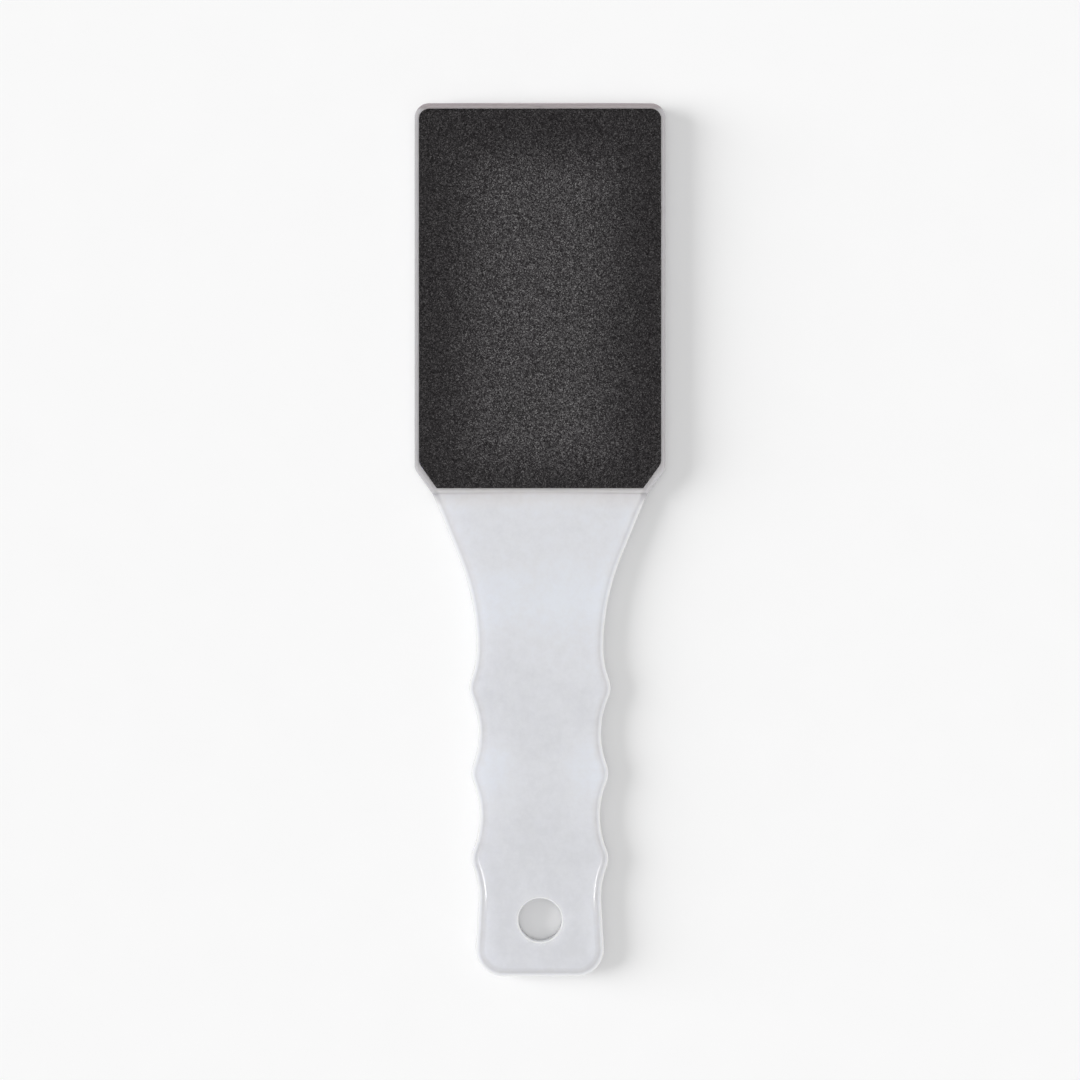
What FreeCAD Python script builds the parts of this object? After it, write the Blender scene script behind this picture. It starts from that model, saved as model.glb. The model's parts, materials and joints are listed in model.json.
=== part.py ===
import FreeCAD, Part
import math
import os
import Sketcher

# Foot file: a moulded paddle with a stuck-on abrasive sheet on each face of its head.
# It lies flat, with its length along Y, the head towards +Y, the width along X and the front face up.
# Outlines are drawn from the tail's end upwards and from the centre line outwards.

SIZES = (
    ("head_length", "111.8", "head plate, along the file"),
    ("head_width", "71.8", "head plate, across the file"),
    ("head_corner_radius", "4.2", "upper corners of the head plate"),
    ("head_edge_round", "0.85", "rounded edge of the head plate"),
    ("head_rise", "0.2", "step from the neck up to each face of the head plate"),
    ("chamfer_width", "5.1", "cut lower corners of the head, across"),
    ("chamfer_height", "7.1", "cut lower corners of the head, along"),
    ("chamfer_round", "3.0", "rounded upper end of each cut corner"),
    ("handle_length", "138.2", "tail's end to the lower edge of the head"),
    ("handle_thickness", "5.0", "handle at its centre line"),
    ("handle_crown", "0.7", "fall of each handle face, from the centre line to the end of the flare"),
    ("handle_edge_round", "1.7", "rounded edge of the handle"),
    ("root_depth", "2.0", "handle's length inside the head plate"),
    ("neck_depth", "2.05", "neck below the highest finger bump, on each side"),
    ("neck_corner_share", "0.31", "place of the bend between the neck and its flare"),
    ("bump_width", "39.3", "handle over the finger bumps"),
    ("top_bump_extra", "1.3", "extra width over the highest finger bump"),
    ("bump_pitch", "24.45", "spacing of the finger bumps"),
    ("bump_radius", "7.2", "rounded tip of each finger bump"),
    ("groove_radius", "25.5", "finger groove between two bumps"),
    ("lowest_bump_height", "33.8", "tail's end to the lowest finger bump"),
    ("tail_groove_depth", "2.05", "groove between the tail and the lowest bump, on each side"),
    ("tail_flare_share", "0.06", "outward slope of the tail's sides"),
    ("tail_corner_radius", "8.0", "rounded corners of the tail"),
    ("hole_diameter", "12.3", "hanging hole"),
    ("hole_height", "16.3", "tail's end to the centre of the hanging hole"),
    ("hole_rim_round", "0.6", "rounded rim of the hanging hole"),
    ("sheet_land", "0.45", "flat rim left beside the abrasive sheet"),
    ("sheet_lower_land", "0.75", "flat rim left below the abrasive sheet"),
    ("sheet_upper_land", "0.9", "flat rim left above the abrasive sheet"),
    ("film_thickness", "0.12", "adhesive film"),
    ("backing_thickness", "0.38", "backing sheet"),
    ("grit_thickness", "0.4", "coat of abrasive grains"),
    ("wall_share", "0.485", "largest share of an edge's thickness that its rounding may take"),
    ("cut_overrun", "5.0", "overrun of every cut"),
)
BUMP_COUNT = 3
UP = FreeCAD.Vector(0, 0, 1)
TOLERANCE = 1e-6


class Size:
    """A length known both as a number and as the sheet formula that drives it."""

    def __init__(self, number, formula):
        self.number = number
        self.formula = formula

    def __add__(self, other):
        return Size(self.number + other.number, "(%s + %s)" % (self.formula, other.formula))

    def __sub__(self, other):
        return Size(self.number - other.number, "(%s - %s)" % (self.formula, other.formula))

    def __mul__(self, other):
        return Size(self.number * other.number, "(%s * %s)" % (self.formula, other.formula))

    def __truediv__(self, other):
        return Size(self.number / other.number, "(%s / %s)" % (self.formula, other.formula))

    def __neg__(self):
        return Size(-self.number, "(-%s)" % self.formula)

    def times(self, count):
        return Size(self.number * count, "(%s * %d)" % (self.formula, count))

    def half(self):
        return Size(self.number / 2, "(%s / 2)" % self.formula)

    def root(self):
        return Size(math.sqrt(self.number), "sqrt(%s)" % self.formula)


def smaller(first, second):
    """The smaller of two sizes."""
    return Size(min(first.number, second.number), "min(%s; %s)" % (first.formula, second.formula))


def circle_leg(hypotenuse, leg):
    """The other leg of a right triangle."""
    return (hypotenuse * hypotenuse - leg * leg).root()


doc = FreeCAD.newDocument("foot_file")
sheet = doc.addObject("Spreadsheet::Sheet", "sizes")
size = {}
for row, (alias, number, meaning) in enumerate(SIZES, start=1):
    sheet.set("A%d" % row, meaning)
    sheet.set("B%d" % row, number)
    sheet.setAlias("B%d" % row, alias)
    size[alias] = Size(float(number), "sizes." + alias)
doc.recompute()

# Sizes that follow from the sheet
overall_length = size["handle_length"] + size["head_length"]
head_half_width = size["head_width"].half()
head_thickness = size["handle_thickness"] + size["head_rise"].times(2)
root_half_width = head_half_width - size["chamfer_width"]
crown = size["handle_crown"]
crown_radius = (root_half_width * root_half_width + crown * crown) / crown.times(2)
bump_half_width = size["bump_width"].half()
top_bump_half_width = bump_half_width + size["top_bump_extra"].half()
sheet_margin = size["head_edge_round"] + size["sheet_land"]
sheet_bottom = size["handle_length"] + size["head_edge_round"] + size["sheet_lower_land"]
sheet_top = overall_length - size["head_edge_round"] - size["sheet_upper_land"]
sheet_stack = size["film_thickness"] + size["backing_thickness"] + size["grit_thickness"]
middle_level = sheet_stack + head_thickness.half()


def vector(across, along):
    return FreeCAD.Vector(across, along, 0)


def origin_plane(body, role):
    return next(feature for feature in body.Origin.OriginFeatures if feature.Role == role)


def new_sketch(body, name, role):
    sketch = body.newObject("Sketcher::SketchObject", name)
    sketch.AttachmentSupport = [(origin_plane(body, role), "")]
    sketch.MapMode = "FlatFace"
    return sketch


def drive(sketch, kind, where, length):
    """Adds one driving dimension and binds it to the sheet."""
    index = sketch.addConstraint(Sketcher.Constraint(kind, *where, length.number))
    sketch.setExpression("Constraints[%d]" % index, length.formula)


def place_point(sketch, point, across, along):
    """Dimensions a point from the sketch's origin; a missing length leaves that direction free."""
    for kind, length in (("DistanceX", across), ("DistanceY", along)):
        if length is not None:
            drive(sketch, kind, (-1, 1) + point, length)


def arc(centre, radius, first_angle, last_angle):
    return Part.ArcOfCircle(Part.Circle(centre, UP, radius), first_angle, last_angle)


def outward_arc(centre, radius, first_angle, last_angle):
    """An arc of the outline that bulges outwards, with its entry and exit points."""
    return arc(centre, radius, first_angle, last_angle), 1, 2


def inward_arc(centre, radius, first_angle, last_angle):
    """An arc of the outline that hollows it, which the outline follows from its end to its start."""
    return arc(centre, radius, last_angle, first_angle), 2, 1


def straight(start, end):
    return Part.LineSegment(start, end), 1, 2


def draw_chain(sketch, pieces, smooth_joins=()):
    """Draws pieces end to end, closes them and returns their numbers; smooth_joins run on smoothly."""
    start = sketch.GeometryCount
    numbers = range(start, start + len(pieces))
    for geometry, entry, leave in pieces:
        sketch.addGeometry(geometry, False)
    for index, (geometry, entry, leave) in enumerate(pieces):
        following = (index + 1) % len(pieces)
        join = "Tangent" if index in smooth_joins else "Coincident"
        ends = (numbers[index], leave, numbers[following], pieces[following][1])
        sketch.addConstraint(Sketcher.Constraint(join, *ends))
    return numbers


def heading(start, end):
    return math.atan2(end.y - start.y, end.x - start.x)


def draw_head_half(sketch, half_width, bottom, top, corner_radius):
    """Half a head outline: cut lower corner, straight side and rounded upper corner."""
    cut_start = vector(half_width.number - size["chamfer_width"].number, bottom.number)
    cut_end = vector(half_width.number, bottom.number + size["chamfer_height"].number)
    cut_angle = heading(cut_start, cut_end)
    round_radius = size["chamfer_round"].number
    tangent_length = round_radius * math.tan((math.pi / 2 - cut_angle) / 2)
    round_start = cut_end - vector(math.cos(cut_angle), math.sin(cut_angle)) * tangent_length
    round_end = cut_end + vector(0, tangent_length)
    round_centre = round_end - vector(round_radius, 0)
    radius = corner_radius.number
    corner_centre = vector(half_width.number - radius, top.number - radius)
    side_end = corner_centre + vector(radius, 0)
    top_start = corner_centre + vector(0, radius)
    pieces = (
        straight(vector(0, bottom.number), cut_start),
        straight(cut_start, round_start),
        outward_arc(round_centre, round_radius, cut_angle - math.pi / 2, 0),
        straight(round_end, side_end),
        outward_arc(corner_centre, radius, 0, math.pi / 2),
        straight(top_start, vector(0, top.number)),
        straight(vector(0, top.number), vector(0, bottom.number)),
    )
    numbers = draw_chain(sketch, pieces, (1, 2, 3, 4))
    bottom_edge, cut_edge, cut_round, side, corner, top_edge, middle = numbers
    for edge in (bottom_edge, top_edge):
        sketch.addConstraint(Sketcher.Constraint("Horizontal", edge))
    sketch.addConstraint(Sketcher.Constraint("Vertical", side))
    place_point(sketch, (bottom_edge, 1), None, bottom)
    place_point(sketch, (cut_edge, 1), half_width - size["chamfer_width"], None)
    place_point(sketch, (side, 1), half_width, None)
    place_point(sketch, (top_edge, 2), None, top)
    drive(sketch, "Radius", (cut_round,), size["chamfer_round"])
    drive(sketch, "Radius", (corner,), corner_radius)
    for point in ((bottom_edge, 1), (top_edge, 2)):
        sketch.addConstraint(Sketcher.Constraint("PointOnObject", *point, -2))
    # The cut's slope: its full width and height meet at the corner that its rounding takes away
    corner_mark = sketch.addGeometry(Part.Point(cut_end), True)
    sketch.addConstraint(Sketcher.Constraint("PointOnObject", corner_mark, 1, cut_edge))
    place_point(sketch, (corner_mark, 1), half_width, bottom + size["chamfer_height"])


def pad_across(body, sketch, thickness, symmetric):
    """Thickens a half outline and mirrors it about the centre line."""
    pad = body.newObject("PartDesign::Pad", "pad")
    pad.Profile = sketch
    pad.SideType = "Symmetric" if symmetric else "One side"
    pad.setExpression("Length", thickness.formula)
    mirror = body.newObject("PartDesign::Mirrored", "mirror")
    mirror.Originals = [pad]
    mirror.MirrorPlane = (origin_plane(body, "YZ_Plane"), [""])
    body.Tip = mirror
    doc.recompute()
    return mirror


def round_edges(body, base, edge_test, radius, name):
    """Rounds the edges of a feature that pass a test on their shape."""
    names = ["Edge%d" % (index + 1) for index, edge in enumerate(base.Shape.Edges) if edge_test(edge)]
    fillet = body.newObject("PartDesign::Fillet", name)
    fillet.Base = (base, names)
    fillet.setExpression("Radius", radius.formula)
    body.Tip = fillet
    doc.recompute()
    return fillet


def cut_through(body, base, sketch, name):
    """Cuts a sketch right through a body, both ways, and makes sure that it removed something."""
    volume_before = base.Shape.Volume
    pocket = body.newObject("PartDesign::Pocket", name)
    pocket.Profile = sketch
    pocket.SideType = "Symmetric"
    pocket.setExpression("Length", (overall_length + size["cut_overrun"]).times(2).formula)
    body.Tip = pocket
    doc.recompute()
    if not pocket.Shape.Volume < volume_before:
        raise RuntimeError(name + " removed nothing")
    return pocket


def make_head():
    """The head plate, flat on both faces and rounded along all its edges."""
    body = doc.addObject("PartDesign::Body", "head_form")
    sketch = new_sketch(body, "head_outline", "XY_Plane")
    draw_head_half(sketch, head_half_width, size["handle_length"], overall_length,
                   size["head_corner_radius"])
    plate = pad_across(body, sketch, head_thickness, True)
    face_level = head_thickness.number / 2

    def on_a_face(edge):
        return all(abs(abs(vertex.Z) - face_level) < TOLERANCE for vertex in edge.Vertexes)

    edge_round = smaller(size["head_edge_round"], head_thickness * size["wall_share"])
    round_edges(body, plate, on_a_face, edge_round, "plate_rounding")
    return body


def groove_centre(lower, upper, reach):
    """Centre of the groove circle that touches two bump circles, on their outer side."""
    middle = (lower + upper) / 2
    half_span = (upper - lower).Length / 2
    along = (upper - lower).normalize()
    return middle + vector(along.y, -along.x) * math.sqrt(reach ** 2 - half_span ** 2)


def draw_handle_half(sketch):
    """Half the handle's outline, with its tail, finger bumps, grooves, neck and flare.

    Returns half the handle's width at its widest place, which is its root inside the head.
    """
    groove_radius = size["groove_radius"].number
    bump_radius = size["bump_radius"].number
    reach = size["groove_radius"] + size["bump_radius"]

    # Bump circles, from the tail upwards
    pitch = size["bump_pitch"]
    bump_heights = [size["lowest_bump_height"] + pitch.times(step) for step in range(BUMP_COUNT)]
    bump_places = [bump_half_width - size["bump_radius"] for step in range(BUMP_COUNT)]
    bump_places[-1] = top_bump_half_width - size["bump_radius"]
    bumps = [vector(place.number, height.number) for place, height in zip(bump_places, bump_heights)]

    # Groove circles: one below the lowest bump, one between each two, one that turns into the neck
    tail_groove_place = bump_half_width - size["tail_groove_depth"] + size["groove_radius"]
    tail_groove_height = bump_heights[0] - circle_leg(reach, tail_groove_place - bump_places[0])
    neck_half_width = top_bump_half_width - size["neck_depth"]
    neck_groove_place = neck_half_width + size["groove_radius"]
    neck_height = bump_heights[-1] + circle_leg(reach, neck_groove_place - bump_places[-1])
    grooves = [vector(tail_groove_place.number, tail_groove_height.number)]
    grooves += [groove_centre(lower, upper, reach.number) for lower, upper in zip(bumps, bumps[1:])]
    grooves += [vector(neck_groove_place.number, neck_height.number)]

    # Tail: a side that slopes a little outwards, down to a round corner
    slope = math.atan(size["tail_flare_share"].number)
    side_normal = vector(math.cos(slope), math.sin(slope))
    side_top = grooves[0] - side_normal * groove_radius
    corner_radius = size["tail_corner_radius"].number
    corner_offset = corner_radius - (side_top.y - corner_radius) * side_normal.y
    corner = vector(side_top.x - corner_offset / side_normal.x, corner_radius)
    side_foot = corner + side_normal * corner_radius

    # Neck: an arc that starts upright at the narrowest place, then a straight flare to the head's corner
    flare_rise = size["handle_length"] - neck_height
    bend_height = neck_height + flare_rise * size["neck_corner_share"]
    narrowest = vector(neck_half_width.number, neck_height.number)
    bend = vector(neck_half_width.number, bend_height.number)
    head_corner = vector(root_half_width.number, size["handle_length"].number)
    flare_angle = math.pi / 2 - heading(bend, head_corner)
    flare_way = vector(math.sin(flare_angle), math.cos(flare_angle))
    neck_end = bend + flare_way * (bend.y - narrowest.y)
    neck_radius = (bend.y - narrowest.y) / math.tan(flare_angle / 2)
    neck_centre = narrowest + vector(neck_radius, 0)

    # Root: the flare runs on inside the head, and leans out no further than the head's cut corner does
    flare_lean = (root_half_width - neck_half_width) / (size["handle_length"] - bend_height)
    cut_lean = size["chamfer_width"] / size["chamfer_height"]
    root_place = root_half_width + smaller(flare_lean, cut_lean) * size["root_depth"]
    root_level = size["handle_length"] + size["root_depth"]
    root = vector(root_place.number, root_level.number)

    pieces = [
        straight(vector(0, 0), vector(corner.x, 0)),
        outward_arc(corner, corner_radius, -math.pi / 2, slope),
        straight(side_foot, side_top),
    ]
    entry_angle = math.pi + slope
    for groove, bump in zip(grooves, bumps):
        groove_exit = heading(groove, bump) % (2 * math.pi)
        pieces.append(inward_arc(groove, groove_radius, entry_angle, groove_exit))
        above = grooves[grooves.index(groove) + 1]
        pieces.append(outward_arc(bump, bump_radius, heading(bump, groove), heading(bump, above)))
        entry_angle = heading(above, bump) % (2 * math.pi)
    pieces += [
        inward_arc(grooves[-1], groove_radius, entry_angle, math.pi),
        inward_arc(neck_centre, neck_radius, math.pi, math.pi - flare_angle),
        straight(neck_end, head_corner),
        straight(head_corner, root),
        straight(root, vector(0, root.y)),
        straight(vector(0, root.y), vector(0, 0)),
    ]
    joined_smoothly = range(len(pieces) - 4)
    numbers = draw_chain(sketch, pieces, joined_smoothly)
    tail_edge, tail_corner, tail_side, first_groove = numbers[:4]
    neck_groove, neck, flare, root_side, root_edge, middle = numbers[-6:]
    sketch.addConstraint(Sketcher.Constraint("Coincident", tail_edge, 1, -1, 1))
    for edge in (tail_edge, root_edge):
        sketch.addConstraint(Sketcher.Constraint("Horizontal", edge))
    sketch.addConstraint(Sketcher.Constraint("Vertical", middle))
    drive(sketch, "Radius", (tail_corner,), size["tail_corner_radius"])
    groove_places = [tail_groove_place] + [None] * (BUMP_COUNT - 1) + [neck_groove_place]
    for step, place in enumerate(groove_places):
        groove = first_groove + 2 * step
        drive(sketch, "Radius", (groove,), size["groove_radius"])
        place_point(sketch, (groove, 3), place, None)
    for step in range(BUMP_COUNT):
        bump = first_groove + 2 * step + 1
        drive(sketch, "Radius", (bump,), size["bump_radius"])
        place_point(sketch, (bump, 3), bump_places[step], bump_heights[step])
    slope_run = sketch.addConstraint(Sketcher.Constraint("Angle", tail_side, math.pi / 2 + slope))
    sketch.setExpression("Constraints[%d]" % slope_run, "90 deg + atan(sizes.tail_flare_share)")
    sketch.addConstraint(Sketcher.Constraint("Horizontal", neck_groove, 3, neck, 3))
    bend_mark = sketch.addGeometry(Part.Point(bend), True)
    place_point(sketch, (bend_mark, 1), neck_half_width, bend_height)
    sketch.addConstraint(Sketcher.Constraint("PointOnObject", bend_mark, 1, flare))
    place_point(sketch, (flare, 2), root_half_width, size["handle_length"])
    place_point(sketch, (root_side, 2), root_place, root_level)
    return root_place


def draw_crown(sketch, side):
    """The space over a crowned face: below it an arc across the handle, above it a straight lid."""
    spread = math.asin(head_half_width.number / crown_radius.number)
    centre_level = (size["handle_thickness"].half() - crown_radius).times(side)
    lid_level = (size["handle_thickness"].half() + size["cut_overrun"]).times(side)
    centre = vector(0, centre_level.number)
    middle_angle = side * math.pi / 2
    crown_arc = arc(centre, crown_radius.number, middle_angle - spread, middle_angle + spread)
    first, last = crown_arc.StartPoint, crown_arc.EndPoint
    lid_first = vector(first.x, lid_level.number)
    lid_last = vector(last.x, lid_level.number)
    pieces = (
        (crown_arc, 1, 2),
        straight(last, lid_last),
        straight(lid_last, lid_first),
        straight(lid_first, first),
    )
    face, far_wall, lid, near_wall = draw_chain(sketch, pieces)
    for wall in (far_wall, near_wall):
        sketch.addConstraint(Sketcher.Constraint("Vertical", wall))
    sketch.addConstraint(Sketcher.Constraint("Horizontal", lid))
    drive(sketch, "Radius", (face,), crown_radius)
    place_point(sketch, (face, 3), None, centre_level)
    sketch.addConstraint(Sketcher.Constraint("PointOnObject", face, 3, -2))
    place_point(sketch, (face, 1), head_half_width.times(side), None)
    place_point(sketch, (face, 2), head_half_width.times(-side), None)
    place_point(sketch, (lid, 1), None, lid_level)


def make_handle():
    """The handle: crowned on both faces, rounded along its edge, with a hanging hole in its tail."""
    body = doc.addObject("PartDesign::Body", "handle_form")
    outline = new_sketch(body, "handle_outline", "XY_Plane")
    widest = draw_handle_half(outline)
    slab = pad_across(body, outline, size["handle_thickness"], True)

    profile = new_sketch(body, "crown_profile", "XZ_Plane")
    for side in (1, -1):
        draw_crown(profile, side)
    crowned = cut_through(body, slab, profile, "crown_cut")

    root_level = (size["handle_length"] + size["root_depth"]).number

    def along_the_outline(edge):
        upright = abs(edge.CenterOfMass.z) < TOLERANCE
        at_the_root = all(abs(vertex.Y - root_level) < TOLERANCE for vertex in edge.Vertexes)
        return not upright and not at_the_root

    edge_fall = crown_radius - circle_leg(crown_radius, widest)
    edge_thickness = size["handle_thickness"] - edge_fall.times(2)
    edge_round = smaller(size["handle_edge_round"], edge_thickness * size["wall_share"])
    rounded = round_edges(body, crowned, along_the_outline, edge_round, "edge_rounding")

    hole = new_sketch(body, "hole_outline", "XY_Plane")
    hole_radius = size["hole_diameter"].half()
    hole_centre = vector(0, size["hole_height"].number)
    hole.addGeometry(Part.Circle(hole_centre, UP, hole_radius.number), False)
    hole.addConstraint(Sketcher.Constraint("PointOnObject", 0, 3, -2))
    place_point(hole, (0, 3), None, size["hole_height"])
    drive(hole, "Radius", (0,), hole_radius)
    drilled = cut_through(body, rounded, hole, "hole_cut")

    def on_the_rim(edge):
        offset = edge.CenterOfMass - hole_centre
        return math.hypot(offset.x, offset.y) < hole_radius.number / 2

    rim_round = smaller(size["hole_rim_round"], edge_thickness * size["wall_share"])
    round_edges(body, drilled, on_the_rim, rim_round, "rim_rounding")
    return body


def make_paddle():
    """Head plate and handle, moulded as one piece."""
    paddle = doc.addObject("Part::MultiFuse", "paddle")
    paddle.Shapes = [make_head(), make_handle()]
    paddle.Refine = True
    return paddle


def make_sheet_layer(label, thickness):
    """One layer of an abrasive sheet, cut to the outline of the sheet."""
    body = doc.addObject("PartDesign::Body", label)
    sketch = new_sketch(body, label + "_outline", "XY_Plane")
    draw_head_half(sketch, head_half_width - sheet_margin, sheet_bottom, sheet_top,
                   size["head_corner_radius"] - sheet_margin)
    pad_across(body, sketch, thickness, False)
    return body


def set_level(part, level):
    """Puts a finished piece at its height, with the middle of the file's length at the origin."""
    part.setExpression("Placement.Base.y", (-overall_length.half()).formula)
    part.setExpression("Placement.Base.z", level.formula)


film = size["film_thickness"]
backing = size["backing_thickness"]
grit = size["grit_thickness"]
ground = Size(0, "0")
front_face = middle_level + head_thickness.half()
LAYERS = (
    ("rear_grit_coat", grit, ground),
    ("rear_backing_sheet", backing, grit),
    ("rear_adhesive_film", film, grit + backing),
    ("front_adhesive_film", film, front_face),
    ("front_backing_sheet", backing, front_face + film),
    ("front_grit_coat", grit, front_face + film + backing),
)

nodes = [make_paddle()]
set_level(nodes[0], middle_level)
for label, thickness, level in LAYERS:
    layer = make_sheet_layer(label, thickness)
    set_level(layer, level)
    nodes.append(layer)
doc.recompute()

for item in doc.Objects:
    if "Invalid" in item.State or "Error" in item.State:
        raise RuntimeError("%s failed: %s" % (item.Name, item.State))
for node in nodes:
    if node.Shape.isNull() or not node.Shape.isValid() or len(node.Shape.Solids) != 1:
        raise RuntimeError(node.Label + " is not one valid solid")

os.makedirs("parts", exist_ok=True)
for node in nodes:
    node.Shape.exportStep("parts/%s.step" % node.Label)
    box = node.Shape.optimalBoundingBox(False)
    print("%-20s volume %9.2f  x %.2f %.2f  y %.2f %.2f  z %.2f %.2f" % (
        node.Label, node.Shape.Volume, box.XMin, box.XMax, box.YMin, box.YMax, box.ZMin, box.ZMax))
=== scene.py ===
# %% [markdown]
# # A foot file, from bare solids to its finished looks
#
# A foot file is a flat moulded paddle that carries a sheet of abrasive on each side of its head. The
# packed model holds every piece at its real size, so this lesson adds only what a mould, a grit coat and
# a photo studio add: soft edges, grains, finishes, light and a camera.

# %% Load the frame and keep its box
import json
import math

import bmesh
import bpy
import numpy as np
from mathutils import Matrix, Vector


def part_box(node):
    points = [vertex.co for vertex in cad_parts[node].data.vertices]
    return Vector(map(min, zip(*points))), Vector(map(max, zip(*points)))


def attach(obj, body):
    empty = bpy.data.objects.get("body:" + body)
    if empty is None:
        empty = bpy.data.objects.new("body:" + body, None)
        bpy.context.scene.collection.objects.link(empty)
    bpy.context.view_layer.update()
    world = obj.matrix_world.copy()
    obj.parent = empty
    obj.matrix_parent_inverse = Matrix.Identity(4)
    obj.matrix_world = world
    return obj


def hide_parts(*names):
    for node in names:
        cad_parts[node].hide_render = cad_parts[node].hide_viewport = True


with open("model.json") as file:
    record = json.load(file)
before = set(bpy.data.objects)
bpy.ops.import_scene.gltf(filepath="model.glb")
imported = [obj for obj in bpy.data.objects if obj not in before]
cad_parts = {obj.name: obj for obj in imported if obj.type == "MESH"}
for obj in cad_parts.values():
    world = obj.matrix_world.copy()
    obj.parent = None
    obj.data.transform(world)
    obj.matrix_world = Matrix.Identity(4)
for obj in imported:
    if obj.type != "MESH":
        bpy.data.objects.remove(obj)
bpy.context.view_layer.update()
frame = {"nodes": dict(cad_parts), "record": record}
nodes = frame["nodes"]
MM = 0.001

# %% [markdown]
# ## The paddle's sizes
#
# The paddle is one moulding: a flat plate for the abrasive, a flared neck, three finger bumps on each
# side and a tail with a hanging hole. What the frame can tell (its box, its sheets, its hole) is read from
# the frame. The radii and spacings of the outline are written once, as a maker writes them on a drawing.

# %% Sizes that the frame gives
paddle_low, paddle_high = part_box("paddle")
sheet_low, sheet_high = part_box("front_grit_coat")
hole = next(mount for mount in frame["record"]["mounts"] if mount["name"] == "hanging_hole")
TAIL_END = paddle_low.y
HEAD_END = paddle_high.y
HEAD_HALF_WIDTH = paddle_high.x
MIDDLE_LEVEL = (paddle_low.z + paddle_high.z) / 2
PLATE_HALF_THICKNESS = (paddle_high.z - paddle_low.z) / 2
HOLE_CENTRE = np.array(hole["pos_m"][:2])
HOLE_RADIUS = hole["dims"]["r_mm"] * MM
print("plate %.2f mm thick, hole %.1f mm across" % (2 * PLATE_HALF_THICKNESS / MM, 2 * HOLE_RADIUS / MM))

# %% Sizes of the outline and of the edges
HANDLE_LENGTH = 138.2 * MM
HANDLE_HALF_THICKNESS = 2.5 * MM
HANDLE_CROWN = 0.7 * MM
HANDLE_ROUND = 1.7 * MM
HANDLE_ROUND_WIDTH = 2.4 * MM
PLATE_ROUND = 0.85 * MM
PLATE_CORNER = 4.2 * MM
CUT_WIDTH = 5.1 * MM
CUT_HEIGHT = 7.1 * MM
CUT_ROUND = 3.0 * MM
BUMP_HALF_WIDTH = 19.65 * MM
TOP_BUMP_EXTRA = 0.65 * MM
BUMP_RADIUS = 7.2 * MM
BUMP_PITCH = 24.45 * MM
BUMP_COUNT = 3
LOWEST_BUMP_REACH = 33.8 * MM
GROOVE_RADIUS = 25.5 * MM
TAIL_GROOVE_DEPTH = 2.05 * MM
TAIL_FLARE_SHARE = 0.06
TAIL_CORNER = 8.0 * MM
NECK_DEPTH = 2.05 * MM
NECK_CORNER_SHARE = 0.31
HOLE_RIM_ROUND = 0.6 * MM
PLATE_BOTTOM = TAIL_END + HANDLE_LENGTH
FLARE_END = np.array((HEAD_HALF_WIDTH - CUT_WIDTH, PLATE_BOTTOM))
CROWN_RADIUS = (FLARE_END[0] ** 2 + HANDLE_CROWN ** 2) / (2 * HANDLE_CROWN)
print("handle crowned on a radius of %.0f mm" % (CROWN_RADIUS / MM))

# %% [markdown]
# ## The outline: arcs that touch
#
# A toolmaker lays out such a handle as circles that touch: small circles for the bumps, large ones for
# the hollows between them. Points could be traced by hand, but then each reflection along the edge would
# wobble. Here every stretch is a true arc or a straight line, so each point also knows exactly which way
# is outwards.

# %% Stretches of an outline
ARC_STEP = 0.7 * MM
LINE_STEP = 2.0 * MM
LEAST_ARC_POINTS = 3
LEAST_LINE_POINTS = 2
CONVEX = 1
CONCAVE = -1


def arc_stretch(centre, radius, first, last, bulge):
    """Points centre + radius * (cos a, sin a), as the angle a runs from first to last.

    Outwards is bulge * (cos a, sin a): away from the centre on a bump, towards it in a hollow.
    """
    count = int(abs(last - first) * radius / ARC_STEP) + LEAST_ARC_POINTS
    angle = np.linspace(first, last, count)
    way = np.stack((np.cos(angle), np.sin(angle)), axis=1)
    return centre + radius * way, bulge * way


def line_stretch(start, end, step=LINE_STEP):
    """Points start + t * (end - start), as t runs from 0 to 1; outwards is to the right of that way."""
    along = end - start
    length = math.hypot(*along)
    share = np.linspace(0, 1, int(length / step) + LEAST_LINE_POINTS)[:, None]
    outwards = np.array((along[1], -along[0])) / length
    return start + share * along, np.repeat(outwards[None], len(share), axis=0)


def heading(start, end):
    """Angle of the way from one point to another, from 0 to a full turn."""
    return math.atan2(end[1] - start[1], end[0] - start[0]) % math.tau


quarter = arc_stretch(np.zeros(2), BUMP_RADIUS, 0, math.pi / 2, CONVEX)[0]
print("a quarter of a bump's circle takes", len(quarter), "points")

# %% [markdown]
# ### Finger bumps and hollows
#
# The bumps keep the hand from sliding, and the fingers lie in the hollows between them. Two circles touch
# when their centres are as far apart as their radii add up to. So the centre of each hollow follows from a
# right triangle, and no place has to be found by trial.

# %% Centres of the bumps and the hollows
LOWEST_BUMP = TAIL_END + LOWEST_BUMP_REACH
bump_reach = np.full(BUMP_COUNT, BUMP_HALF_WIDTH)
bump_reach[-1] += TOP_BUMP_EXTRA
bump_along = LOWEST_BUMP + BUMP_PITCH * np.arange(BUMP_COUNT)
bumps = np.stack((bump_reach - BUMP_RADIUS, bump_along), axis=1)
touch = BUMP_RADIUS + GROOVE_RADIUS


def hollow_beside(bump, across, way):
    """A hollow's centre at a known place across, touching a bump from below (way -1) or above (way 1)."""
    return np.array((across, bump[1] + way * math.sqrt(touch ** 2 - (across - bump[0]) ** 2)))


def hollow_between(lower, upper):
    """A hollow's centre that touches two bumps: out from their middle, square to the line between them."""
    span = upper - lower
    half_span = math.hypot(*span) / 2
    outwards = np.array((span[1], -span[0])) / (2 * half_span)
    return (lower + upper) / 2 + outwards * math.sqrt(touch ** 2 - half_span ** 2)


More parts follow.
